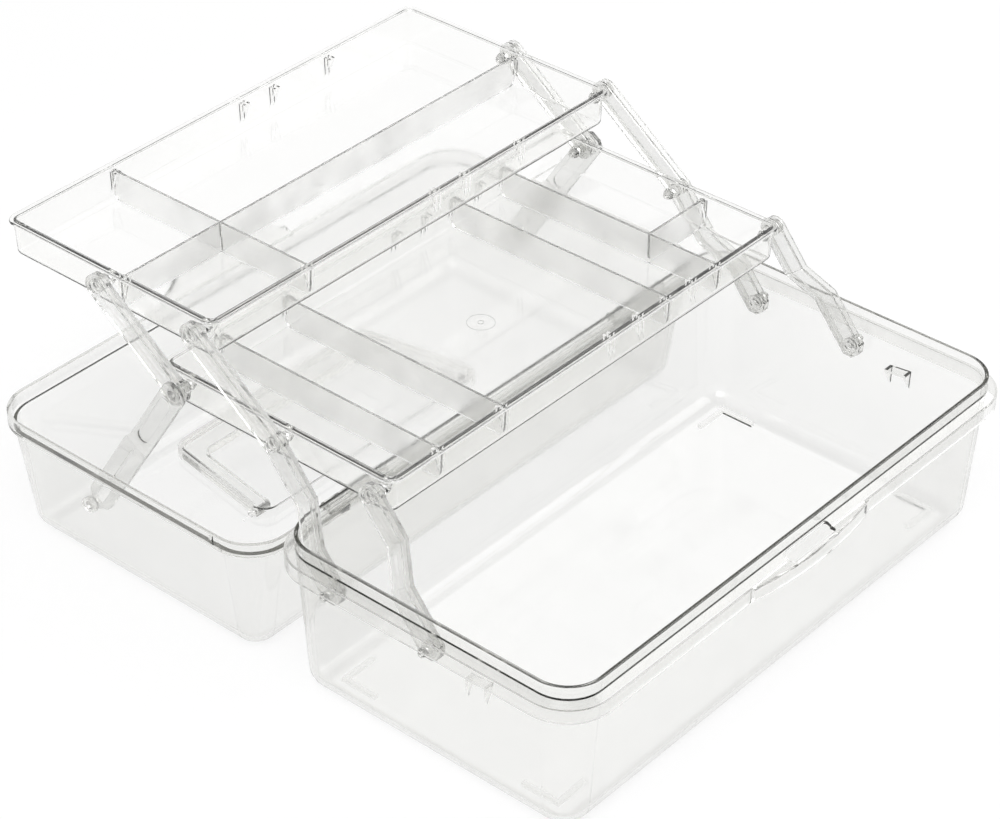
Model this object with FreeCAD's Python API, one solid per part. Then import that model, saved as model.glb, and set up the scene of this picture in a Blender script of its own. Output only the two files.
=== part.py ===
import FreeCAD, Part
import math
import os

# Base sizes in millimetres
base_length = 330.0
base_depth = 175.6
base_height = 88.0
corner_radius = 20.0
wall = 2.0
base_lean = 5.5
base_round = 12.0
lip_height = 6.4
shoulder_reach = 4.8
shoulder_drop = 2.6
skirt_height = 7.5
skirt_wall = 1.6
lip_round = 0.6
floor_rib_leg = 21.0
floor_rib_width = 2.4
floor_rib_height = 2.2
floor_rib_inset = (1.5, 4.5)

# Front catch on the base skirt
catch_half = 46.0
catch_bow = 5.0
pocket_half = 16.5
pocket_edge = 2.4
pocket_round = 2.0
catch_round = 1.2

# Lid sizes
rim_gap = 0.6
rim_over_length = 5.0
rim_over_depth = 2.7
rim_step = 1.7
rim_cover = 0.5
lid_lean = 9.7
lid_round = 12.0
tab_drop = 13.5
tab_gap = 0.7
tab_wall = 1.8
scoop_radius = 12.3
bead_half = 26.0
bead_height = 1.5
bead_clear = 0.35
band_over = 1.4
band_round = 0.7
stub_boss = 1.8
gate_ring = (115.0, -18.4)
gate_radius = 4.2
gate_wall = 1.2
gate_rise = 0.8
band_fin_y = 63.4
band_fin_reach = 2.2
band_fin_wide = 1.6

# Hinge
hinge_out = 6.6
hinge_drop = 11.2
hinge_station = 105.0
knuckle_radius = 3.2
knuckle_half = 7.5
knuckle_outer = 20.0
knuckle_gap = 0.5
hinge_pin_radius = 1.25

# Handle and its well in the lid
well_front = 64.8
well_length = 74.0
well_half_front = 70.0
well_half_back = 82.0
well_recess = 6.2
well_wall = 1.8
well_corner = 7.0
handle_gap = 0.8
handle_thick = 5.5
handle_lift = 0.3
handle_grip = 13.0
handle_arm = 8.0
handle_pivot_back = 8.0
handle_pin_radius = 1.8
handle_round = 1.3
grip_round = 5.0
well_round = 1.2

# Trays
middle_depth = 147.0
top_depth = 140.5
tray_height = 20.0
tray_corner = 7.0
tray_wall = 1.6
tray_lean = 1.0
tray_round = 3.0
flange_reach = 2.0
flange_thick = 1.8
flange_round = 0.8
middle_rim = 130.6
top_rim = 166.2
middle_front = 34.1
top_front = 144.2
middle_pin_drop = 7.6
top_pin_drop = 6.0
pin_inset = 8.5

# Arms, links and their pivots
pivot_drop = 20.0
pivot_from_corner = 10.7
lower_span = 59.6
upper_span = 62.4
arm_radius = 6.0
arm_thick = 4.6
arm_rim = 1.5
arm_floor = 2.0
front_jog = (0.4, 0.66)
rear_jog = (0.285, 0.57)
arm_wall_gap = 0.95
link_gap = 1.4
link_thick = 3.2
link_step = 0.7
stack_gap = 0.6
tray_side_gap = 1.9
collar_length = 3.2
pin_radius = 2.5
boss_wall = 1.2
ring_wall = 0.6
ring_rise = 0.8
end_clip = 0.4
snap_reach = 0.4
snap_length = 2.4
snap_gap = 1.0
snap_slot = 1.2
rest_gap = 0.5
rest_length = 12.5
rest_thick = 1.5
rest_leg = 11.0
stub_back = 124.0
stub_z = 38.0
stub_gap = 0.5
link_half = 7.3
tip_long = 5.0
tip_short = 4.2
tip_round = 1.0
link_dish = 1.6
seam_half = 0.7
seam_depth = 0.8
link_bend = (0.44, 0.49)
slot_gap = 0.3

# Fits
running = 0.05
sink = 0.5
divider_gap = 0.15
divider_end = 0.25

# Dividers
divider_thick = 1.4
divider_below_rim = 2.0
divider_corner = 4.0
top_cross_x = -76.0
top_long_y = 62.5
middle_dividers = (-108.0, -64.0, 57.0, 96.0)
middle_short_y = 46.6
spare_ribs = (14.0, 36.0, 77.0)
rib_width = 1.2
rib_reach = 4.2
rib_drop = 12.0
rib_below = 0.6

# Levels and positions worked out from the sizes above
z_root = base_height - lip_height
z_edge = z_root - shoulder_drop
z_skirt = z_edge - skirt_height
hinge_y = base_depth / 2 + hinge_out
hinge_z = base_height - hinge_drop
z_rim = z_root + rim_gap
z_top = 2 * hinge_z
rim_length = base_length + 2 * rim_over_length
rim_depth = base_depth + 2 * rim_over_depth
pivot_z = base_height - pivot_drop
base_slope = base_lean / base_height
lid_slope = lid_lean / (z_top - z_rim)
tray_slope = tray_lean / tray_height
end_wall = base_length / 2 - base_slope * pivot_drop - wall
outer_hi = end_wall - arm_wall_gap
outer_lo = outer_hi - arm_thick
link_hi = outer_lo - link_gap
link_lo = link_hi - link_thick
inner_hi = link_lo - stack_gap
inner_lo = inner_hi - arm_thick
tray_length = 2 * (inner_lo - tray_side_gap)
middle_pin_z = middle_rim - middle_pin_drop
top_pin_z = top_rim - top_pin_drop
front_pin_y = middle_front + pin_inset
mid_pin_y = front_pin_y + lower_span
rear_pin_y = mid_pin_y + upper_span
top_pin_y = top_front + pin_inset
top_rear_pin_y = top_pin_y + upper_span
rear_pivot_y = base_depth / 2 - corner_radius - pivot_from_corner
front_pivot_y = rear_pivot_y - lower_span
stub_y = hinge_y + stub_back
hole_radius = pin_radius + running
base_pins = ((front_pivot_y, pivot_z), (rear_pivot_y, pivot_z))
middle_pins = ((front_pin_y, middle_pin_z), (mid_pin_y, middle_pin_z), (rear_pin_y, middle_pin_z))
top_pins = ((top_pin_y, top_pin_z), (top_rear_pin_y, top_pin_z))
X_AXIS = FreeCAD.Vector(1, 0, 0)


# Small helpers for vectors, outlines and solids
def V(x, y, z):
    return FreeCAD.Vector(x, y, z)


def rounded_wire(length, depth, radius, z, yc=0.0):
    hx = length / 2
    hy = depth / 2
    k = radius * (1 - math.sqrt(0.5))
    edges = []
    start = V(-hx + radius, yc - hy, z)
    corners = ((1, -1), (1, 1), (-1, 1), (-1, -1))
    for sx, sy in corners:
        side = V(sx * hx, yc + sy * (hy - radius), z)
        face = V(sx * (hx - radius), yc + sy * hy, z)
        mid = V(sx * (hx - k), yc + sy * (hy - k), z)
        a, b = (face, side) if sx * sy < 0 else (side, face)
        edges.append(Part.LineSegment(start, a).toShape())
        edges.append(Part.Arc(a, mid, b).toShape())
        start = b
    return Part.Wire(edges)


def loft(wires):
    return Part.makeLoft(wires, True, True)


def level_edges(shape, z):
    found = []
    for e in shape.Edges:
        box = e.BoundBox
        if abs(box.ZMin - z) < 1e-3 and abs(box.ZMax - z) < 1e-3:
            found.append(e)
    return found


def prism(points, direction):
    wire = Part.makePolygon(list(points) + [points[0]])
    return Part.Face(wire).extrude(direction)


def plate(length, depth, radius, z0, z1, yc=0.0):
    wire = rounded_wire(length, depth, radius, z0, yc)
    return Part.Face(wire).extrude(V(0, 0, z1 - z0))


def tub(length, depth, radius, slope, z_open, z_floor, inset, edge_round, yc=0.0, over=0.0):
    sign = 1 if z_open > z_floor else -1
    run = abs(z_open - z_floor)
    out = 2 * (slope * over - inset)
    pinch = 2 * (slope * run + inset)
    wide = rounded_wire(length + out, depth + out, radius + out / 2, z_open + sign * over, yc)
    small = rounded_wire(length - pinch, depth - pinch, radius - pinch / 2, z_floor, yc)
    solid = loft([wide, small])
    return solid.makeFillet(edge_round, level_edges(solid, z_floor))


def rod(radius, x0, x1, y, z):
    return Part.makeCylinder(radius, x1 - x0, V(x0, y, z), X_AXIS)


def joined(first, others):
    return first.fuse(others).removeSplitter()


def less(first, others):
    return first.cut(others)


def mirrored(shape):
    return shape.mirror(V(0, 0, 0), X_AXIS)


def both_ends(shape):
    return [shape, mirrored(shape)]


# Segment of the bowed catch outline between two x stations
def bow_plan(half, front, bow, back, z):
    ends = (V(-half, front, z), V(half, front, z))
    arc = Part.Arc(ends[0], V(0, front - bow, z), ends[1]).toShape()
    path = Part.makePolygon([ends[1], V(half, back, z), V(-half, back, z), ends[0]])
    return Part.Face(Part.Wire([arc] + path.Edges))


def span(start, end):
    return math.hypot(end[0] - start[0], end[1] - start[1])


# Turn of the arms that lays the top tray on the middle tray, and the rise of a folded arm
stack_rise = tray_height - top_pin_drop + middle_pin_drop + stack_gap
upper_angle = math.atan2(top_pin_z - middle_pin_z, top_pin_y - mid_pin_y)
fold_turn = math.pi - math.asin(stack_rise / span(middle_pins[1], top_pins[0])) - upper_angle
lower_angle = math.atan2(middle_pin_z - pivot_z, mid_pin_y - rear_pivot_y)
fold_slope = -math.tan(lower_angle + fold_turn)


# Base tub with its lip, sloping shoulder and hanging skirt
def make_base():
    outer = tub(base_length, base_depth, corner_radius, base_slope, base_height, 0, 0, base_round)
    inner = tub(base_length, base_depth, corner_radius, base_slope, base_height, wall, wall,
                base_round - wall, over=1.0)
    wide = 2 * shoulder_reach
    inside = wide - 2 * skirt_wall
    fall = shoulder_drop / shoulder_reach
    under = z_root - fall * inside / 2 - 1.9

    def around(extra, z):
        return rounded_wire(base_length + extra, base_depth + extra, corner_radius + extra / 2, z)

    collar = loft([around(wide, z_skirt), around(wide, z_edge), around(0, z_root)])
    hollow = loft([around(inside, z_skirt - 1), around(inside, under),
                   around(-2, under + fall * (inside / 2 + 1))])
    front = -base_depth / 2 - shoulder_reach
    bulge = bow_plan(catch_half, front, catch_bow, front + 1, z_skirt)
    bulge = bulge.extrude(V(0, 0, z_edge - z_skirt))
    crest = [e for e in level_edges(bulge, z_edge) if e.BoundBox.YMin < front - 1]
    bulge = bulge.makeFillet(catch_round, crest)
    core = bow_plan(catch_half - 3, front, catch_bow - skirt_wall, front + skirt_wall + 0.6, z_skirt - 1)
    core = core.extrude(V(0, 0, z_edge - z_skirt - 0.9))
    collar = less(joined(collar, [bulge]), [hollow, core])
    pocket = prism([V(-pocket_half, -base_depth / 2 - 0.5, z_skirt + 3),
                    V(pocket_half, -base_depth / 2 - 0.5, z_skirt + 3),
                    V(pocket_half, front - catch_bow + pocket_edge, z_skirt + 3),
                    V(-pocket_half, front - catch_bow + pocket_edge, z_skirt + 3)], V(0, 0, 12))
    posts = [e for e in pocket.Edges if e.BoundBox.ZLength > 11]
    collar = less(collar, [pocket.makeFillet(pocket_round, posts)])
    knuckles = []
    for side in (-1, 1):
        x = side * hinge_station
        near = knuckle_half + knuckle_gap
        for a, b in ((near, knuckle_outer), (-knuckle_outer, -near)):
            knuckles.append(rod(knuckle_radius, x + a, x + b, hinge_y, hinge_z))
    shell = joined(outer, [collar] + knuckles)
    notches = []
    for side in (-1, 1):
        half = knuckle_half + knuckle_gap
        back = hinge_y - knuckle_radius - 0.5
        x = side * hinge_station
        notches.append(Part.makeBox(2 * half, 12, 14, V(x - half, back, z_skirt - 1)))
        notches.append(rod(hinge_pin_radius + running, x - 30, x + 30, hinge_y, hinge_z))
    for y in (front_pivot_y, rear_pivot_y):
        notches.append(rod(hole_radius, end_wall - 8, end_wall + 8, y, pivot_z))
        notches.append(rod(hole_radius, -end_wall - 8, -end_wall + 8, y, pivot_z))
    shell = less(shell, [inner] + notches)
    rims = level_edges(shell, base_height)
    shell = shell.makeFillet(lip_round, rims)
    return joined(shell, floor_ribs() + arm_rests())


# Four angle ribs standing on the floor near its corners
def floor_ribs():
    ribs = []
    corner_x = base_length / 2 - base_lean - base_round - floor_rib_inset[0]
    corner_y = base_depth / 2 - base_lean - base_round - floor_rib_inset[1]
    leg = floor_rib_leg
    width = floor_rib_width
    for sx in (-1, 1):
        for sy in (-1, 1):
            plan = ((0, 0), (leg, 0), (leg, width), (width, width), (width, leg), (0, leg))
            points = [V(sx * (corner_x - a), sy * (corner_y - b), wall - sink) for a, b in plan]
            ribs.append(prism(points, V(0, 0, floor_rib_height + sink)))
    return ribs


# Shelf rests with two gussets on the end walls, just under the folded front arms
def arm_rests():
    rise = fold_slope * rest_length
    y0 = front_pivot_y - front_jog[0] * span(base_pins[0], middle_pins[0]) + rest_length / 2
    z0 = pivot_z + fold_slope * (front_pivot_y - y0) - arm_radius - rest_gap
    ends = ((y0, z0), (y0 - rest_length, z0 + rise))
    shelf = [V(outer_lo, y, z) for y, z in ends]
    shelf += [V(outer_lo, y, z - rest_thick) for y, z in reversed(ends)]
    made = [prism(shelf, V(end_wall - outer_lo + sink, 0, 0))]
    for y, z in ((y0 - rest_thick, z0), (y0 - rest_length, z0 + rise)):
        top = z - rest_thick / 2
        gusset = [V(outer_lo, y, top), V(end_wall, y, top), V(end_wall, y, top - rest_leg)]
        made.append(prism(gusset, V(0, rest_thick, 0)))
    return both_ends(joined(made[0], made[1:]))


# Half width of the handle well at a given depth across the closed lid
def well_half(y):
    return well_half_front + (well_half_back - well_half_front) * (y + well_front) / well_length


def well_prism(grow, z0, z1):
    y0 = -well_front - grow
    y1 = -well_front + well_length + grow
    pts = [V(-well_half(y0) - grow, y0, z0), V(well_half(y0) + grow, y0, z0),
           V(well_half(y1) + grow, y1, z0), V(-well_half(y1) - grow, y1, z0)]
    solid = prism(pts, V(0, 0, z1 - z0))
    posts = [e for e in solid.Edges if e.BoundBox.ZLength > 1]
    return solid.makeFillet(well_corner + grow, posts)


# Turn a piece of the closed lid to the open pose
def opened(shape):
    turned = shape.copy()
    turned.rotate(V(0, hinge_y, hinge_z), X_AXIS, 180)
    return turned


pivot_y_closed = -well_front + well_length - handle_pivot_back
handle_z = z_top - well_recess + handle_lift
handle_pivot_z = handle_z + handle_thick / 2


# Lid tub, modelled closed and then opened
def make_lid():
    length = rim_length - 2 * rim_step
    depth = rim_depth - 2 * rim_step
    radius = corner_radius + rim_over_depth - rim_step
    body = tub(length, depth, radius, lid_slope, z_rim, z_top, 0, lid_round)
    room = tub(length, depth, radius, lid_slope, z_rim, z_top - wall, wall, lid_round - wall, over=1.0)
    inner_top = base_height + rim_cover
    band = plate(rim_length, rim_depth, radius + rim_step, z_rim, inner_top + band_over)
    band = band.makeFillet(band_round, level_edges(band, inner_top + band_over))
    cover = plate(rim_length - 2 * wall, rim_depth - 2 * wall, radius + rim_step - wall,
                  z_rim - 1, inner_top)
    shell = less(joined(body, [band]), [room, cover])
    recess_z = z_top - well_recess
    dish = well_prism(well_wall, recess_z - well_wall, z_top - wall / 2)
    dish = dish.makeFillet(well_round, level_edges(dish, recess_z - well_wall))
    shell = joined(shell, [dish] + lid_trim() + lid_latch() + lid_knuckles())
    cuts = [well_prism(0, recess_z, z_top + 1)]
    side = well_half(pivot_y_closed)
    hole = rod(handle_pin_radius + running, side - 6, side + 8, pivot_y_closed, handle_pivot_z)
    cuts += both_ends(hole)
    for s in (-1, 1):
        x = s * hinge_station
        cuts.append(rod(hinge_pin_radius + running, x - 30, x + 30, hinge_y, hinge_z))
    return opened(less(shell, cuts))


# Stubs for the links, moulding ring and small ribs on the rim band
def lid_trim():
    y = 2 * hinge_y - stub_y
    z = 2 * hinge_z - stub_z
    inside = rim_length / 2 - rim_step - lid_slope * (z - z_rim) - wall
    stub = rod(pin_radius, link_hi + stub_gap, inside + 1, y, z)
    boss = rod(pin_radius + stub_boss, inside - 3, inside + 1, y, z)
    low = z_top - wall - gate_rise
    ring = Part.makeCylinder(gate_radius, gate_rise + sink, V(gate_ring[0], gate_ring[1], low))
    under = V(gate_ring[0], gate_ring[1], low - gate_rise)
    ring = ring.cut(Part.makeCylinder(gate_radius - gate_wall, 2 * gate_rise, under))
    x = rim_length / 2 - 1
    out = x + band_fin_reach
    profile = ((x, z_rim), (out, z_rim), (out, z_rim + 4), (x, base_height + 1))
    fin = prism([V(a, band_fin_y, z) for a, z in profile], V(0, band_fin_wide, 0))
    return both_ends(stub) + both_ends(boss) + [ring] + both_ends(fin)


# Bowed tab that drops over the catch on the base
def lid_latch():
    front = -base_depth / 2 - shoulder_reach
    big = (catch_half ** 2 + catch_bow ** 2) / (2 * catch_bow)
    centre_y = front - catch_bow + big
    half = catch_half - 1

    def bowed(inner, outer, wide, z0, z1):
        ring = Part.makeCylinder(outer, z1 - z0, V(0, centre_y, z0))
        ring = ring.cut(Part.makeCylinder(inner, z1 - z0, V(0, centre_y, z0)))
        window = Part.makeBox(2 * wide, 20, z1 - z0, V(-wide, front - 12, z0))
        return ring.common(window)

    near = big + tab_gap
    tab = bowed(near, near + tab_wall, half, z_rim - tab_drop, z_rim + 2)
    scoops = []
    for s in (-1, 1):
        spot = V(s * (half + sink), front - 20, z_rim - tab_drop)
        scoops.append(Part.makeCylinder(scoop_radius, 40, spot, V(0, 1, 0)))
    tab = less(tab, scoops)
    ledge = Part.makeCylinder(near + 0.4, 2, V(0, centre_y, z_rim))
    window = Part.makeBox(2 * half, rim_depth, 2, V(-half, -rim_depth - rim_depth / 2 + 1, z_rim))
    bead_z = z_rim - tab_drop + 0.3
    bead = bowed(big + bead_clear, near + 0.3, bead_half, bead_z, bead_z + bead_height)
    return [tab, ledge.common(window), bead]


# Lid half of the two hinge sets
def lid_knuckles():
    made = []
    rim_y = rim_depth / 2
    for s in (-1, 1):
        x = s * hinge_station - knuckle_half
        made.append(rod(knuckle_radius, x, x + 2 * knuckle_half, hinge_y, hinge_z))
        profile = ((rim_y - 0.8, z_rim + 0.4), (rim_y - 0.8, base_height + 1),
                   (rim_y + 1.2, base_height + 1), (hinge_y + 2.4, z_rim),
                   (hinge_y + knuckle_radius, hinge_z), (hinge_y, hinge_z),
                   (hinge_y - knuckle_radius, hinge_z), (hinge_y - knuckle_radius, z_rim + 0.4))
        made.append(prism([V(x, y, z) for y, z in profile], V(2 * knuckle_half, 0, 0)))
    return made


def make_hinge_pin(side):
    x = side * hinge_station
    return rod(hinge_pin_radius, x - knuckle_outer, x + knuckle_outer, hinge_y, hinge_z)


# Carrying handle lying in its well
def make_handle():
    y0 = -well_front + handle_gap
    y1 = pivot_y_closed
    out = handle_gap

    def frame(inset, ya, yb):
        return [V(-well_half(ya) + out + inset, ya, handle_z), V(well_half(ya) - out - inset, ya, handle_z),
                V(well_half(yb) - out - inset, yb, handle_z), V(-well_half(yb) + out + inset, yb, handle_z)]

    up = V(0, 0, handle_thick)
    body = prism(frame(0, y0, y1), up)
    body = body.makeFillet(well_corner - handle_gap, [e for e in body.Edges
                                                      if e.BoundBox.ZLength > 1 and e.BoundBox.YMax < 0])
    gap = prism(frame(handle_arm, y0 + handle_grip, y1 + 10), up)
    gap = gap.makeFillet(grip_round, [e for e in gap.Edges
                                      if e.BoundBox.ZLength > 1 and e.BoundBox.YMax < y1])
    side = well_half(y1) - out
    eyes = both_ends(rod(handle_thick / 2, side - handle_arm, side, y1, handle_pivot_z))
    body = less(body, [gap])
    ridge = [e for e in body.Edges if e.BoundBox.ZLength < 1e-3 and e.BoundBox.YMax < y1 - 1e-3]
    body = body.makeFillet(handle_round, ridge)
    pins = both_ends(rod(handle_pin_radius, side - 2, side + out + well_wall + 1.2, y1, handle_pivot_z))
    return opened(joined(body, eyes + pins))


# Tray with rolled rim, rib pairs and pivot holes
def make_tray(front, rim, total_depth, pins, pin_z, crosses, end_ribs):
    yc = front + total_depth / 2
    floor = rim - tray_height
    length = tray_length - 2 * flange_reach
    depth = total_depth - 2 * flange_reach
    radius = tray_corner - flange_reach
    body = tub(length, depth, radius, tray_slope, rim, floor, 0, tray_round, yc)
    room = tub(length, depth, radius, tray_slope, rim, floor + tray_wall, tray_wall,
               tray_round - tray_wall, yc, 1.0)
    flange = plate(tray_length, total_depth, tray_corner, rim - flange_thick, rim, yc)
    rolled = level_edges(flange, rim) + level_edges(flange, rim - flange_thick)
    flange = flange.makeFillet(flange_round, rolled)
    ribs = []
    z1 = rim - divider_below_rim - rib_below
    z0 = z1 - rib_drop
    inner_y = depth / 2 - tray_wall
    for x in crosses:
        ribs += rib_pair(x, yc - inner_y, (1, 0), (0, 1), z0, z1)
        ribs += rib_pair(x, yc + inner_y, (1, 0), (0, -1), z0, z1)
    for side, y in end_ribs:
        ribs += rib_pair(side * (length / 2 - tray_wall), y, (0, 1), (-side, 0), z0, z1)
    holes = []
    for y in pins:
        holes += both_ends(rod(hole_radius, tray_length / 2 - 12, tray_length / 2 + 3, y, pin_z))
    shell = less(joined(body, [flange]), [room] + holes)
    return joined(shell, ribs)


def rib_pair(px, py, along, inward, z0, z1):
    made = []
    near = divider_thick / 2 + divider_gap
    sweep = V(along[0], along[1], 0) * rib_width
    for a in (near, -near - rib_width):
        pts = [V(px + a * along[0] + b * inward[0], py + a * along[1] + b * inward[1], z)
               for b, z in ((-1.0, z0), (0.2, z0), (rib_reach, z1), (-1.0, z1))]
        made.append(prism(pts, sweep))
    return made


# Divider plate standing across or along a tray, with its lower corners rounded
def half_inside(total, below):
    return total / 2 - flange_reach - tray_wall - tray_slope * below - divider_end


def make_divider(rim, low, high, place, across):
    top = rim - divider_below_rim
    bottom = rim - tray_height + tray_wall + running
    drop = tray_slope * (top - bottom)
    ends = ((low[0] + low[1] * drop, bottom), (high[0] - high[1] * drop, bottom),
            (high[0], top), (low[0], top))
    t = divider_thick / 2
    if across:
        plateau = prism([V(place - t, a, z) for a, z in ends], V(2 * t, 0, 0))
    else:
        plateau = prism([V(a, place - t, z) for a, z in ends], V(0, 2 * t, 0))
    rounds = [e for e in level_edges(plateau, bottom) if e.Length < 2 * divider_thick]
    return plateau.makeFillet(divider_corner, rounds)


def cross_divider(front, rim, total_depth, x):
    yc = front + total_depth / 2
    half = half_inside(total_depth, divider_below_rim)
    return make_divider(rim, (yc - half, 1), (yc + half, 1), x, True)


def long_divider(rim, y, x0, lean0, x1):
    return make_divider(rim, (x0, lean0), (x1, 1), y, False)


def half_lap(plate_shape, x, y, z0, z1):
    wide = divider_thick / 2 + divider_gap
    return plate_shape.cut(Part.makeBox(2 * wide, 2 * wide, z1 - z0, V(x - wide, y - wide, z0)))


# Arms: side profile cut to a rounded bar outline, with a channel in the outer face
def bar_outline(length, radius, z0, z1, clipped=False):
    edges = [Part.LineSegment(V(0, -radius, z0), V(length, -radius, z0)).toShape(),
             Part.Arc(V(length, -radius, z0), V(length + radius, 0, z0), V(length, radius, z0)).toShape(),
             Part.LineSegment(V(length, radius, z0), V(0, radius, z0)).toShape()]
    if clipped:
        clip = end_clip * radius
        edges += Part.makePolygon([V(0, radius, z0), V(-clip, radius, z0), V(-radius, clip, z0),
                                   V(-radius, -clip, z0), V(-clip, -radius, z0), V(0, -radius, z0)]).Edges
    else:
        edges.append(Part.Arc(V(0, radius, z0), V(-radius, 0, z0), V(0, -radius, z0)).toShape())
    return Part.Face(Part.Wire(edges)).extrude(V(0, 0, z1 - z0))


def bar_along(shape, start, end):
    angle = math.atan2(end[1] - start[1], end[0] - start[0])
    c = math.cos(angle)
    s = math.sin(angle)
    m = FreeCAD.Matrix(0, 0, 1, 0, c, -s, 0, start[0], s, c, 0, start[1], 0, 0, 0, 1)
    placed = shape.copy()
    placed.Placement = FreeCAD.Placement(m)
    return placed


def side_profile(levels, below, above, radius):
    pts = [V(s, -radius, x + above) for s, x in levels]
    pts += [V(s, -radius, x + below) for s, x in reversed(levels)]
    return prism(pts, V(0, 2 * radius, 0))


def channel_bar(start, end, levels, thick, clipped=False):
    length = span(start, end)
    lows = [x for s, x in levels]
    lo = min(lows) - 2
    hi = max(lows) + thick + 2
    whole = bar_outline(length, arm_radius, lo, hi, clipped)
    bar = side_profile(levels, 0, thick, arm_radius).common(whole)
    inside = bar_outline(length, arm_radius - arm_rim, lo, hi, clipped)
    dug = side_profile(levels, arm_floor, thick + 1, arm_radius).common(inside)
    return bar_along(bar, start, end), bar_along(dug, start, end)


def jogged(length, leave, arrive):
    return [(-arm_radius - 1, outer_lo), (leave * length, outer_lo), (arrive * length, inner_lo),
            (length + arm_radius + 1, inner_lo)]


def snap_pin(y, z, x_root, x_wall):
    sign = 1 if x_wall > x_root else -1
    shank = abs(x_wall - x_root) + snap_gap
    pin = Part.makeCylinder(pin_radius, shank + 1)
    head = Part.makeCone(pin_radius + snap_reach, pin_radius - 0.5, snap_length)
    head.translate(V(0, 0, shank + 1))
    slit = Part.makeBox(snap_slot, 4 * pin_radius, snap_length + 4,
                        V(-snap_slot / 2, -2 * pin_radius, shank - 2.2))
    shape = joined(pin, [head]).cut(slit)
    shape.rotate(V(0, 0, 0), V(0, 1, 0), 90 * sign)
    shape.translate(V(x_root - sign, y, z))
    return shape


def tray_wall_inside(drop):
    return tray_length / 2 - flange_reach - tray_slope * drop - tray_wall


base_outside = end_wall + wall
boss_radius = pin_radius + boss_wall


def boss(point, x0):
    return rod(boss_radius, x0, x0 + arm_thick, point[0], point[1])


def collar(point):
    return rod(boss_radius - 0.2, inner_lo - collar_length, inner_lo + 1, point[0], point[1])


def pivot_ring(point):
    ring = rod(boss_radius + ring_wall, outer_lo - ring_rise, outer_lo + sink, point[0], point[1])
    return ring.cut(rod(pin_radius, outer_lo - 1, outer_lo, point[0], point[1]))


def make_front_arm():
    length = span(base_pins[0], middle_pins[0])
    bar, dug = channel_bar(base_pins[0], middle_pins[0], jogged(length, *front_jog), arm_thick, True)
    arm = less(bar, [dug])
    return joined(arm, [boss(base_pins[0], outer_lo), boss(middle_pins[0], inner_lo),
                        pivot_ring(base_pins[0]), collar(middle_pins[0]),
                        snap_pin(front_pivot_y, pivot_z, outer_hi, base_outside),
                        snap_pin(front_pin_y, middle_pin_z, inner_lo, tray_wall_inside(middle_pin_drop))])


def flat_levels(length, x):
    return [(-arm_radius - 1, x), (length + arm_radius + 1, x)]


def make_rear_arm():
    length = span(base_pins[1], middle_pins[1])
    low, low_dug = channel_bar(base_pins[1], middle_pins[1], jogged(length, *rear_jog), arm_thick, True)
    reach = span(middle_pins[1], top_pins[0])
    high, high_dug = channel_bar(middle_pins[1], top_pins[0], flat_levels(reach, inner_lo), arm_thick)
    arm = less(joined(low, [high]), [low_dug, high_dug])
    return joined(arm, [boss(base_pins[1], outer_lo), boss(middle_pins[1], inner_lo),
                        boss(top_pins[0], inner_lo), pivot_ring(base_pins[1]), collar(middle_pins[1]),
                        collar(top_pins[0]),
                        snap_pin(rear_pivot_y, pivot_z, outer_hi, base_outside),
                        snap_pin(mid_pin_y, middle_pin_z, inner_lo, tray_wall_inside(middle_pin_drop)),
                        snap_pin(top_pin_y, top_pin_z, inner_lo, tray_wall_inside(top_pin_drop))])


def make_upper_arm():
    start = middle_pins[2]
    end = top_pins[1]
    bar, dug = channel_bar(start, end, flat_levels(span(start, end), inner_lo), arm_thick)
    arm = joined(less(bar, [dug]), [boss(start, inner_lo), boss(end, inner_lo), collar(start), collar(end),
                                    snap_pin(end[0], end[1], inner_lo, tray_wall_inside(top_pin_drop))])
    return arm.cut(rod(hole_radius, inner_lo - 5, inner_hi + 1, start[0], start[1]))


# Lid link: flat bar with a bend at mid-length, a slanting tip and a slot that the stub runs along
def make_lid_link():
    start = middle_pins[2]
    end = (stub_y, stub_z)
    length = span(start, end)
    thick = link_thick - link_step
    bend = [k * length for k in link_bend]
    levels = [(-link_half, link_lo), (bend[0], link_lo), (bend[1], link_lo + link_step),
              (length + link_half, link_lo + link_step)]
    clip = end_clip * link_half
    plan = ((-arm_radius, -clip), (-clip, -link_half), (length - 1, -link_half),
            (length + tip_long, -link_half / 3), (length + tip_short, clip), (length - 2, link_half),
            (bend[1], link_half), (bend[0], arm_radius), (-clip, arm_radius), (-arm_radius, clip))
    outline = prism([V(s, w, link_lo - 2) for s, w in plan], V(0, 0, link_thick + 4))
    posts = [e for e in outline.Edges if e.BoundBox.ZLength > link_thick]
    bar = side_profile(levels, 0, thick, link_half).common(outline.makeFillet(tip_round, posts))
    swung = lower_angle + fold_turn
    reach = span(base_pins[1], middle_pins[1])
    shut = (rear_pivot_y + reach * math.cos(swung) + upper_span, pivot_z + reach * math.sin(swung))
    slide = length - span(shut, (2 * hinge_y - stub_y, 2 * hinge_z - stub_z))
    slot = bar_outline(slide, pin_radius + slot_gap, link_lo - 1, link_hi + 1)
    slot.translate(V(length - slide, 0, 0))
    dish = bar_outline(0.3 * length, 0.6 * arm_radius, link_lo + link_dish, link_hi + 1)
    dish.translate(V(0.08 * length, 0, 0))
    seam = bar_outline(0.26 * length, seam_half, link_hi - seam_depth, link_hi + 1)
    seam.translate(V(bend[1] + 3, 0, 0))
    bar = bar_along(less(bar, [slot, dish, seam]), start, end)
    post = rod(boss_radius, link_lo, link_lo + thick, start[0], start[1])
    return joined(bar, [post, snap_pin(start[0], start[1], link_lo, tray_wall_inside(middle_pin_drop))])


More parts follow.
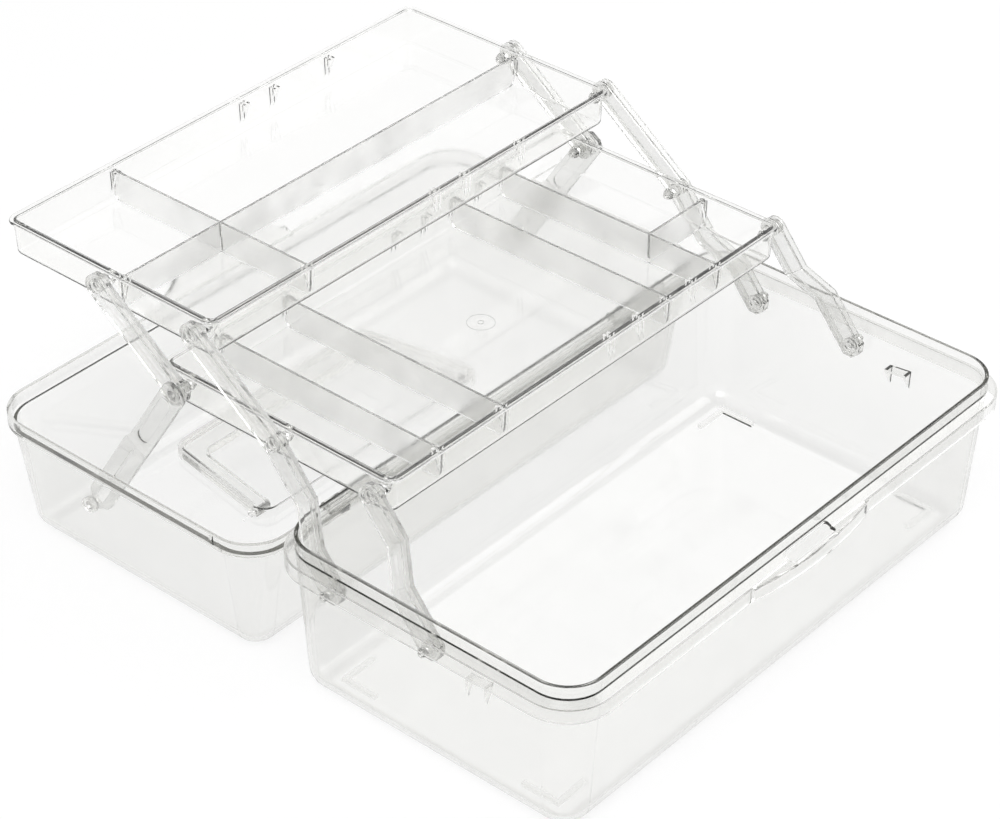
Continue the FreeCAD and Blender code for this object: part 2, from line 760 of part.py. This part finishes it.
# Build every node and write it out
nodes = {}
nodes["base_shell"] = make_base()
nodes["lid_shell"] = make_lid()
nodes["lid_handle"] = make_handle()
nodes["hinge_pin_left"] = make_hinge_pin(-1)
nodes["hinge_pin_right"] = make_hinge_pin(1)
long_y = top_front + top_long_y
short_y = middle_front + middle_short_y
nodes["middle_tray"] = make_tray(middle_front, middle_rim, middle_depth, [p[0] for p in middle_pins],
                                 middle_pin_z, middle_dividers + spare_ribs, ((1, short_y),))
nodes["top_tray"] = make_tray(top_front, top_rim, top_depth, [p[0] for p in top_pins],
                              top_pin_z, (top_cross_x,) + spare_ribs, ((1, long_y), (-1, long_y)))
for number, x in enumerate(middle_dividers):
    plateau = cross_divider(middle_front, middle_rim, middle_depth, x)
    nodes["middle_tray_divider_%d" % (number + 1)] = plateau
half_x = half_inside(tray_length, divider_below_rim)
short_start = middle_dividers[-1] + divider_thick / 2 + divider_gap
nodes["middle_tray_short_divider"] = long_divider(middle_rim, short_y, short_start, 0, half_x)
lap = top_rim - tray_height / 2
crosser = cross_divider(top_front, top_rim, top_depth, top_cross_x)
nodes["top_tray_cross_divider"] = half_lap(crosser, top_cross_x, long_y, lap, top_rim)
runner = long_divider(top_rim, long_y, -half_x, 1, half_x)
runner = half_lap(runner, top_cross_x, long_y, top_rim - tray_height, lap + divider_gap)
nodes["top_tray_long_divider"] = runner
for name, maker in (("front_arm", make_front_arm), ("rear_arm", make_rear_arm),
                    ("upper_arm", make_upper_arm), ("lid_link", make_lid_link)):
    right = maker()
    nodes[name + "_right"] = right
    nodes[name + "_left"] = mirrored(right)

os.makedirs("parts", exist_ok=True)
for name, shape in nodes.items():
    solids = shape.Solids
    if len(solids) != 1 or not solids[0].isValid():
        print("check", name, len(solids), shape.isValid())
    solids[0].exportStep("parts/%s.step" % name)
    print(name, round(solids[0].Volume / 1000, 2), "cm3")
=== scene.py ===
import math

import bpy
from bpy.props import FloatProperty, FloatVectorProperty, PointerProperty
from bpy.types import Operator, Panel, PropertyGroup
from mathutils import Matrix, Vector


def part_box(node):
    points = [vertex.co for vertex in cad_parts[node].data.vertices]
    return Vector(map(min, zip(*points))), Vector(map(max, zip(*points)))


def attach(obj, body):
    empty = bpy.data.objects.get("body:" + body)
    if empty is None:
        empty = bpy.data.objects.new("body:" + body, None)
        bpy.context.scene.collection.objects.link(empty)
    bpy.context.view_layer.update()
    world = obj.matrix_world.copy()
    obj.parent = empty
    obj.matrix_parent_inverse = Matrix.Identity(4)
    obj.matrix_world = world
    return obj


bl_info = {
    "name": "Clear Art Box Looks",
    "version": (1, 0, 0),
    "blender": (4, 5, 0),
    "location": "View3D > Sidebar > Art Box",
    "description": "Finishes and stage for a clear two-tray art supply box",
    "category": "Object",
}

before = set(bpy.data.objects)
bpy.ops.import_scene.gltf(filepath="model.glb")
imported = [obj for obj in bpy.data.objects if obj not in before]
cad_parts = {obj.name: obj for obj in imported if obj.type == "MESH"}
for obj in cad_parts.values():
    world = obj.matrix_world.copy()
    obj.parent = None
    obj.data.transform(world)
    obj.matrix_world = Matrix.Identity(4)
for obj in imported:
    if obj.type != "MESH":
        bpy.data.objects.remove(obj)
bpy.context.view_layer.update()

SHELL_NODES = ("base_shell", "lid_shell")
HANDLE_NODES = ("lid_handle",)
TRAY_NODES = ("middle_tray", "top_tray")
DIVIDER_NODES = tuple("middle_tray_divider_%d" % n for n in range(1, 5)) + (
    "middle_tray_short_divider", "top_tray_cross_divider", "top_tray_long_divider")
ARM_NODES = tuple(kind + side for kind in ("front_arm", "rear_arm", "upper_arm", "lid_link")
                  for side in ("_left", "_right"))
PIN_NODES = ("hinge_pin_left", "hinge_pin_right")

# Clear plastic: noise is (scale, detail), and ripple is each kind's bump strength
CLEAR_IOR = 1.49
NOISE_SPAN = (0.3, 0.7)
GLOSS_NOISE = (60.0, 3.0)
GLOSS_SPREAD = (0.6, 1.5)
FLOW_NOISE = (35.0, 1.0)
FLOW_SHADE = 0.985
RIPPLE = {"shell": 0.03, "handle": 0.05, "tray": 0.05, "divider": 0.05, "arm": 0.03}
RIPPLE_HEIGHT = 0.0004

# Steel pins: stretch of the grain along and across a pin, and the roughness range
PIN_GRAIN = (40, 3000, 3000)
PIN_GLOSS = (0.2, 0.4)

# Rings at the moulding gate of each tray, and the steps round a ring and round its bead
GATE_RINGS = (("middle_tray", 2), ("top_tray", 1))
RING_STEPS = 64
BEAD_STEPS = 8

# Floor levels, the room's stops as (height, level), and lamps as (name, place, watts)
FLOOR_MATT = 0.2
FLOOR_GLOW = 0.86
FLOOR_PLAIN = 0.85
ROOM_WHITE = (0.62, 1.0)
ROOM_DARK = (0.86, 0.1)
ROOM_LIGHT = 0.5
LAMPS = (("key_light", (-0.9, -0.4, 1.6), 14), ("fill_light", (1.2, -0.5, 1.3), 7))
LAMP_AIM = (0, 0.08, 0.08)
LAMP_SIDE = 1.2

SENSOR_WIDTH = 36
CLIP = (0.05, 50)
BOUNCES = {"max_bounces": 40, "glossy_bounces": 16, "transmission_bounces": 32}


class ArtBoxFinish(PropertyGroup):
    """Colours and surface values of the box's plastics and pins."""
    shell_colour: FloatVectorProperty(
        name="Shell colour", description="Colour of light passing the shells' faces",
        subtype="COLOR", size=3, min=0, max=1, default=(0.984, 0.984, 0.978))
    shell_tint: FloatVectorProperty(
        name="Shell tint", description="Colour that thick edges of the shells take on",
        subtype="COLOR", size=3, min=0, max=1, default=(0.62, 0.62, 0.59))
    shell_density: FloatProperty(
        name="Shell density", description="How fast the shells darken with thickness, per metre",
        default=58, min=0)
    shell_roughness: FloatProperty(
        name="Shell roughness", description="Micro roughness of the polished shells",
        subtype="FACTOR", default=0.075, min=0, max=1)
    handle_colour: FloatVectorProperty(
        name="Handle colour", description="Colour of light passing the handle's faces",
        subtype="COLOR", size=3, min=0, max=1, default=(0.985, 0.985, 0.978))
    handle_tint: FloatVectorProperty(
        name="Handle tint", description="Colour that thick parts of the handle take on",
        subtype="COLOR", size=3, min=0, max=1, default=(0.62, 0.62, 0.59))
    handle_density: FloatProperty(
        name="Handle density", description="How fast the handle darkens with thickness, per metre",
        default=5, min=0)
    handle_roughness: FloatProperty(
        name="Handle roughness", description="Micro roughness of the polished handle",
        subtype="FACTOR", default=0.075, min=0, max=1)
    tray_colour: FloatVectorProperty(
        name="Tray colour", description="Colour of light passing the trays' faces",
        subtype="COLOR", size=3, min=0, max=1, default=(0.998, 0.998, 0.991))
    tray_tint: FloatVectorProperty(
        name="Tray tint", description="Colour that thick edges of the trays take on",
        subtype="COLOR", size=3, min=0, max=1, default=(0.6, 0.6, 0.57))
    tray_density: FloatProperty(
        name="Tray density", description="How fast the trays darken with thickness, per metre",
        default=9, min=0)
    tray_roughness: FloatProperty(
        name="Tray roughness", description="Micro roughness of the trays",
        subtype="FACTOR", default=0.06, min=0, max=1)
    divider_colour: FloatVectorProperty(
        name="Divider colour", description="Colour of light passing the dividers' faces",
        subtype="COLOR", size=3, min=0, max=1, default=(0.995, 0.995, 0.988))
    divider_tint: FloatVectorProperty(
        name="Divider tint", description="Colour that thick edges of the dividers take on",
        subtype="COLOR", size=3, min=0, max=1, default=(0.6, 0.6, 0.57))
    divider_density: FloatProperty(
        name="Divider density", description="How fast the dividers darken with thickness, per metre",
        default=16, min=0)
    divider_roughness: FloatProperty(
        name="Divider roughness", description="Micro roughness of the satin dividers",
        subtype="FACTOR", default=0.17, min=0, max=1)
    divider_cloud: FloatProperty(
        name="Divider cloud", description="Share of the dividers' plastic that is milky, not clear",
        subtype="FACTOR", default=0.035, min=0, max=1)
    arm_colour: FloatVectorProperty(
        name="Arm colour", description="Colour of light passing the arms' faces",
        subtype="COLOR", size=3, min=0, max=1, default=(0.965, 0.965, 0.955))
    arm_tint: FloatVectorProperty(
        name="Arm tint", description="Colour that thick parts of the arms take on",
        subtype="COLOR", size=3, min=0, max=1, default=(0.6, 0.6, 0.58))
    arm_density: FloatProperty(
        name="Arm density", description="How fast the arms darken with thickness, per metre",
        default=55, min=0)
    arm_roughness: FloatProperty(
        name="Arm roughness", description="Micro roughness of the arms",
        subtype="FACTOR", default=0.06, min=0, max=1)
    arm_cloud: FloatProperty(
        name="Arm cloud", description="Share of the arms' plastic that is milky, not clear",
        subtype="FACTOR", default=0.08, min=0, max=1)
    pin_colour: FloatVectorProperty(
        name="Pin colour", description="Colour of the drawn steel pins",
        subtype="COLOR", size=3, min=0, max=1, default=(0.62, 0.62, 0.61))


class ArtBoxGate(PropertyGroup):
    """Sizes of the moulding gate's rings on the tray floors."""
    inner: FloatProperty(
        name="First ring", description="Radius of the smallest ring",
        unit="LENGTH", default=0.00145, min=0)
    spread: FloatProperty(
        name="Ring spread", description="How much wider the next ring is",
        unit="LENGTH", default=0.0055, min=0)
    bead: FloatProperty(
        name="Bead", description="Radius of a ring's bead",
        unit="LENGTH", default=0.0002, min=0)
    floor: FloatProperty(
        name="Tray floor", description="Thickness of a tray's floor",
        unit="LENGTH", default=0.0016, min=0)


class ArtBoxStage(PropertyGroup):
    """Camera and floor of the plain studio."""
    eye: FloatVectorProperty(
        name="Camera place", description="Where the camera stands",
        subtype="TRANSLATION", unit="LENGTH", size=3, default=(-0.96785, -0.72756, 0.9637))
    azimuth: FloatProperty(
        name="Camera azimuth", description="Turn of the view about the upright, 0 looks along +Y",
        subtype="ANGLE", default=math.radians(-48.332))
    elevation: FloatProperty(
        name="Camera elevation", description="How far the camera looks down",
        subtype="ANGLE", default=math.radians(35.325))
    roll: FloatProperty(
        name="Camera roll", description="Turn of the picture",
        subtype="ANGLE", default=math.radians(-0.2005))
    lens: FloatProperty(
        name="Lens", description="Focal length in millimetres on a 36 mm sensor",
        default=114.02, min=1)
    shift: FloatVectorProperty(
        name="Lens shift", description="Framing shift of the picture",
        size=2, default=(0.0592, 0.0044))
    floor_size: FloatProperty(
        name="Floor size", description="Side of the pale floor",
        unit="LENGTH", default=12.0, min=1)


class Tree:
    """Small helper that adds nodes with their values, and links them."""

    def __init__(self, tree):
        self.tree = tree
        tree.nodes.clear()

    def add(self, kind, sockets=None, **settings):
        node = self.tree.nodes.new(kind)
        for key, value in settings.items():
            setattr(node, key, value)
        for key, value in (sockets or {}).items():
            node.inputs[key].default_value = value
        return node

    def link(self, source, target):
        self.tree.links.new(source, target)


def new_material(name):
    mat = bpy.data.materials.new(name)
    mat.use_nodes = True
    return mat, Tree(mat.node_tree)


def grey(level):
    return (level, level, level, 1)


def noise(tree, place, scale, detail):
    tex = tree.add("ShaderNodeTexNoise", {"Scale": scale, "Detail": detail})
    tree.link(place.outputs["Object"], tex.inputs["Vector"])
    return tex


def ranged(tree, source, low, high):
    """Spread the middle of a noise over a range of values."""
    node = tree.add("ShaderNodeMapRange", {"From Min": NOISE_SPAN[0], "From Max": NOISE_SPAN[1],
                                           "To Min": low, "To Max": high})
    tree.link(source, node.inputs["Value"])
    return node.outputs["Result"]


def clear_plastic(kind):
    """Moulded clear plastic: faint flow ripples, uneven gloss, and edges that deepen with thickness."""
    finish = bpy.context.scene.art_box_finish
    colour, tint, density, roughness = (
        getattr(finish, kind + part) for part in ("_colour", "_tint", "_density", "_roughness"))
    mat, tree = new_material(kind + "_plastic")
    place = tree.add("ShaderNodeTexCoord")
    shader = tree.add("ShaderNodeBsdfPrincipled", {
        "IOR": CLEAR_IOR, "Transmission Weight": 1 - getattr(finish, kind + "_cloud", 0.0)})
    gloss = noise(tree, place, *GLOSS_NOISE)
    low, high = (roughness * share for share in GLOSS_SPREAD)
    tree.link(ranged(tree, gloss.outputs["Fac"], low, high), shader.inputs["Roughness"])
    flow = noise(tree, place, *FLOW_NOISE)
    shade = tree.add("ShaderNodeValToRGB")
    shade.color_ramp.elements[0].color = (*(FLOW_SHADE * c for c in colour), 1)
    shade.color_ramp.elements[1].color = (*colour, 1)
    tree.link(flow.outputs["Fac"], shade.inputs["Fac"])
    tree.link(shade.outputs["Color"], shader.inputs["Base Color"])
    bump = tree.add("ShaderNodeBump", {"Strength": RIPPLE[kind], "Distance": RIPPLE_HEIGHT})
    tree.link(flow.outputs["Fac"], bump.inputs["Height"])
    tree.link(bump.outputs["Normal"], shader.inputs["Normal"])
    depth = tree.add("ShaderNodeVolumeAbsorption", {"Color": (*tint, 1), "Density": density})
    out = tree.add("ShaderNodeOutputMaterial")
    tree.link(shader.outputs["BSDF"], out.inputs["Surface"])
    tree.link(depth.outputs["Volume"], out.inputs["Volume"])
    return mat


def drawn_steel(colour):
    """Drawn wire: bright steel with fine lines along the pin."""
    mat, tree = new_material("drawn_steel")
    place = tree.add("ShaderNodeTexCoord")
    stretch = tree.add("ShaderNodeMapping", {"Scale": PIN_GRAIN})
    tree.link(place.outputs["Object"], stretch.inputs["Vector"])
    lines = tree.add("ShaderNodeTexNoise", {"Scale": 1.0})
    tree.link(stretch.outputs["Vector"], lines.inputs["Vector"])
    shader = tree.add("ShaderNodeBsdfPrincipled", {"Base Color": (*colour, 1), "Metallic": 1})
    tree.link(ranged(tree, lines.outputs["Fac"], *PIN_GLOSS), shader.inputs["Roughness"])
    out = tree.add("ShaderNodeOutputMaterial")
    tree.link(shader.outputs["BSDF"], out.inputs["Surface"])
    return mat


def dress(nodes, mat):
    """Give CAD nodes a finish in place of their plain one."""
    for name in nodes:
        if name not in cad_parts:
            raise RuntimeError("no piece named " + name)
        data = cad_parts[name].data
        data.materials.clear()
        data.materials.append(mat)


class ARTBOX_OT_shells(Operator):
    """Finish the base and lid shells in polished clear plastic"""
    bl_idname = "artbox.shells"
    bl_label = "Base and lid shells"

    def execute(self, context):
        dress(SHELL_NODES, clear_plastic("shell"))
        return {"FINISHED"}


class ARTBOX_OT_handle(Operator):
    """Finish the carrying handle"""
    bl_idname = "artbox.handle"
    bl_label = "Carrying handle"

    def execute(self, context):
        dress(HANDLE_NODES, clear_plastic("handle"))
        return {"FINISHED"}


class ARTBOX_OT_trays(Operator):
    """Finish the two trays"""
    bl_idname = "artbox.trays"
    bl_label = "Trays"

    def execute(self, context):
        dress(TRAY_NODES, clear_plastic("tray"))
        return {"FINISHED"}


def gate_tree(mat):
    """Rings round a moulding gate: a circle for each point, each wider, swept into thin beads."""
    tree = bpy.data.node_groups.new("gate_rings", "GeometryNodeTree")
    sockets = {}
    for name, kind in (("Rings", "NodeSocketInt"), ("Inner", "NodeSocketFloat"),
                       ("Spread", "NodeSocketFloat"), ("Bead", "NodeSocketFloat")):
        socket = tree.interface.new_socket(name=name, in_out="INPUT", socket_type=kind)
        sockets[name] = socket.identifier
    tree.interface.new_socket(name="Geometry", in_out="OUTPUT", socket_type="NodeSocketGeometry")
    made = Tree(tree)
    sizes = made.add("NodeGroupInput")
    points = made.add("GeometryNodePoints")
    made.link(sizes.outputs["Rings"], points.inputs["Count"])
    wider = made.add("ShaderNodeMath", operation="MULTIPLY_ADD")
    made.link(made.add("GeometryNodeInputIndex").outputs[0], wider.inputs[0])
    made.link(sizes.outputs["Spread"], wider.inputs[1])
    made.link(sizes.outputs["Inner"], wider.inputs[2])
    circle = made.add("GeometryNodeCurvePrimitiveCircle", {"Resolution": RING_STEPS, "Radius": 1})
    rings = made.add("GeometryNodeInstanceOnPoints")
    made.link(points.outputs[0], rings.inputs["Points"])
    made.link(circle.outputs["Curve"], rings.inputs["Instance"])
    made.link(wider.outputs[0], rings.inputs["Scale"])
    real = made.add("GeometryNodeRealizeInstances")
    made.link(rings.outputs["Instances"], real.inputs["Geometry"])
    profile = made.add("GeometryNodeCurvePrimitiveCircle", {"Resolution": BEAD_STEPS})
    made.link(sizes.outputs["Bead"], profile.inputs["Radius"])
    sweep = made.add("GeometryNodeCurveToMesh")
    made.link(real.outputs["Geometry"], sweep.inputs["Curve"])
    made.link(profile.outputs["Curve"], sweep.inputs["Profile Curve"])
    painted = made.add("GeometryNodeSetMaterial", {"Material": mat})
    made.link(sweep.outputs["Mesh"], painted.inputs["Geometry"])
    out = made.add("NodeGroupOutput")
    made.link(painted.outputs["Geometry"], out.inputs["Geometry"])
    return tree, sockets


class ARTBOX_OT_gates(Operator):
    """Add the moulding gate's rings to the middle of each tray's floor"""
    bl_idname = "artbox.gates"
    bl_label = "Gate rings"

    def execute(self, context):
        gate = context.scene.art_box_gate
        tree, sockets = gate_tree(bpy.data.materials["tray_plastic"])
        for tray, rings in GATE_RINGS:
            low, high = (Vector(corner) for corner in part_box(tray))
            seed = bpy.data.objects.new(tray + "_gate", bpy.data.meshes.new(tray + "_gate"))
            context.scene.collection.objects.link(seed)
            grower = seed.modifiers.new("rings", "NODES")
            grower.node_group = tree
            for name, value in (("Rings", rings), ("Inner", gate.inner), ("Spread", gate.spread),
                                ("Bead", gate.bead)):
                grower[sockets[name]] = value
            grown = seed.evaluated_get(context.evaluated_depsgraph_get())
            mesh = bpy.data.meshes.new_from_object(grown)
            if not mesh.polygons:
                raise RuntimeError("no gate rings were made on " + tray)
            seed.modifiers.remove(grower)
            middle = (low + high) / 2
            mesh.transform(Matrix.Translation((middle.x, middle.y, low.z + gate.floor)))
            mesh.shade_smooth()
            seed.data = mesh
            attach(seed, tray)
        return {"FINISHED"}


class ARTBOX_OT_dividers(Operator):
    """Finish the tray dividers in satin, slightly milky plastic"""
    bl_idname = "artbox.dividers"
    bl_label = "Dividers"

    def execute(self, context):
        dress(DIVIDER_NODES, clear_plastic("divider"))
        return {"FINISHED"}


class ARTBOX_OT_arms(Operator):
    """Finish the arms and lid links in slightly milky plastic"""
    bl_idname = "artbox.arms"
    bl_label = "Arms and links"

    def execute(self, context):
        dress(ARM_NODES, clear_plastic("arm"))
        return {"FINISHED"}


class ARTBOX_OT_pins(Operator):
    """Finish the steel hinge pins"""
    bl_idname = "artbox.pins"
    bl_label = "Hinge pins"

    def execute(self, context):
        dress(PIN_NODES, drawn_steel(context.scene.art_box_finish.pin_colour))
        return {"FINISHED"}


def seen_rays(tree):
    """1 on camera, glossy and transmission rays, 0 on the rays that light the object."""
    path = tree.add("ShaderNodeLightPath")
    total = path.outputs["Is Camera Ray"]
    for name in ("Is Glossy Ray", "Is Transmission Ray"):
        most = tree.add("ShaderNodeMath", operation="MAXIMUM")
        tree.link(total, most.inputs[0])
        tree.link(path.outputs[name], most.inputs[1])
        total = most.outputs[0]
    return total


def by_rays(tree, lighting, seen, output):
    """One shader for the rays that light the object, another for the rays that see."""
    pick = tree.add("ShaderNodeMixShader")
    tree.link(seen_rays(tree), pick.inputs[0])
    tree.link(lighting.outputs[0], pick.inputs[1])
    tree.link(seen.outputs[0], pick.inputs[2])
    tree.link(pick.outputs[0], tree.add(output).inputs["Surface"])


def floor_paint():
    """Pale floor that reads white and keeps a soft shadow."""
    mat, tree = new_material("pale_floor")
    matt = tree.add("ShaderNodeBsdfDiffuse", {"Color": grey(FLOOR_MATT)})
    glow = tree.add("ShaderNodeEmission", {"Strength": FLOOR_GLOW})
    both = tree.add("ShaderNodeAddShader")
    tree.link(matt.outputs[0], both.inputs[0])
    tree.link(glow.outputs[0], both.inputs[1])
    plain = tree.add("ShaderNodeBsdfDiffuse", {"Color": grey(FLOOR_PLAIN)})
    by_rays(tree, plain, both, "ShaderNodeOutputMaterial")
    return mat


def studio_world():
    """White room with a dark patch straight overhead, and a plain level of light."""
    world = bpy.data.worlds.new("studio")
    world.use_nodes = True
    tree = Tree(world.node_tree)
    place = tree.add("ShaderNodeTexCoord")
    split = tree.add("ShaderNodeSeparateXYZ")
    tree.link(place.outputs["Generated"], split.inputs[0])
    ramp = tree.add("ShaderNodeValToRGB")
    for stop, (height, level) in zip(ramp.color_ramp.elements, (ROOM_WHITE, ROOM_DARK)):
        stop.position = height
        stop.color = grey(level)
    tree.link(split.outputs["Z"], ramp.inputs[0])
    shown = tree.add("ShaderNodeBackground")
    tree.link(ramp.outputs["Color"], shown.inputs["Color"])
    light = tree.add("ShaderNodeBackground", {"Strength": ROOM_LIGHT})
    by_rays(tree, light, shown, "ShaderNodeOutputWorld")
    bpy.context.scene.world = world


def soft_lamp(name, spot, power):
    data = bpy.data.lights.new(name, "AREA")
    data.shape = "SQUARE"
    data.size = LAMP_SIDE
    data.energy = power
    lamp = bpy.data.objects.new(name, data)
    lamp.location = spot
    lamp.rotation_euler = (Vector(LAMP_AIM) - Vector(spot)).to_track_quat("-Z", "Y").to_euler()
    bpy.context.scene.collection.objects.link(lamp)


def photo_camera(stage):
    data = bpy.data.cameras.new("camera")
    data.sensor_width = SENSOR_WIDTH
    data.lens = stage.lens
    data.shift_x, data.shift_y = stage.shift
    data.clip_start, data.clip_end = CLIP
    level = math.cos(stage.elevation)
    back = Vector((math.sin(stage.azimuth) * level, -math.cos(stage.azimuth) * level,
                   math.sin(stage.elevation)))
    across = Vector((0, 0, 1)).cross(back).normalized()
    up = back.cross(across)
    c, s = math.cos(stage.roll), math.sin(stage.roll)
    x, y = c * across + s * up, c * up - s * across
    cam = bpy.data.objects.new("camera", data)
    turn = Matrix((x, y, back)).transposed().to_4x4()
    cam.matrix_world = Matrix.Translation(stage.eye) @ turn
    bpy.context.scene.collection.objects.link(cam)
    bpy.context.scene.camera = cam


class ARTBOX_OT_stage(Operator):
    """Set up the pale floor, the soft light and the camera"""
    bl_idname = "artbox.stage"
    bl_label = "Stage"

    def execute(self, context):
        scene = context.scene
        stage = scene.art_box_stage
        half = stage.floor_size / 2
        corners = [(-half, -half, 0), (half, -half, 0), (half, half, 0), (-half, half, 0)]
        mesh = bpy.data.meshes.new("floor")
        mesh.from_pydata(corners, [], [(0, 1, 2, 3)])
        mesh.materials.append(floor_paint())
        floor = bpy.data.objects.new("floor", mesh)
        scene.collection.objects.link(floor)
        studio_world()
        for name, spot, power in LAMPS:
            soft_lamp(name, spot, power)
        photo_camera(stage)
        scene.view_settings.view_transform = "Standard"
        for name, count in BOUNCES.items():
            setattr(scene.cycles, name, count)
        scene.cycles.use_denoising = True
        return {"FINISHED"}


OPERATORS = (ARTBOX_OT_shells, ARTBOX_OT_handle, ARTBOX_OT_trays, ARTBOX_OT_gates,
             ARTBOX_OT_dividers, ARTBOX_OT_arms, ARTBOX_OT_pins, ARTBOX_OT_stage)


class ARTBOX_PT_looks(Panel):
    """Steps that dress the art box and set its stage"""
    bl_idname = "ARTBOX_PT_looks"
    bl_label = "Art box"
    bl_space_type = "VIEW_3D"
    bl_region_type = "UI"
    bl_category = "Art Box"

    def draw(self, context):
        scene = context.scene
        for step in OPERATORS:
            self.layout.operator(step.bl_idname)
        for group in (scene.art_box_finish, scene.art_box_gate, scene.art_box_stage):
            for name in group.__annotations__:
                self.layout.prop(group, name)


CLASSES = (ArtBoxFinish, ArtBoxGate, ArtBoxStage) + OPERATORS + (ARTBOX_PT_looks,)


def register():
    for cls in CLASSES:
        bpy.utils.register_class(cls)
    bpy.types.Scene.art_box_finish = PointerProperty(type=ArtBoxFinish)
    bpy.types.Scene.art_box_gate = PointerProperty(type=ArtBoxGate)
    bpy.types.Scene.art_box_stage = PointerProperty(type=ArtBoxStage)


def unregister():
    del bpy.types.Scene.art_box_stage
    del bpy.types.Scene.art_box_gate
    del bpy.types.Scene.art_box_finish
    for cls in reversed(CLASSES):
        bpy.utils.unregister_class(cls)


def main():
    register()
    bpy.ops.artbox.shells()
    bpy.ops.artbox.handle()
    bpy.ops.artbox.trays()
    bpy.ops.artbox.gates()
    bpy.ops.artbox.dividers()
    bpy.ops.artbox.arms()
    bpy.ops.artbox.pins()
    bpy.ops.artbox.stage()


if __name__ == "__main__":
    main()
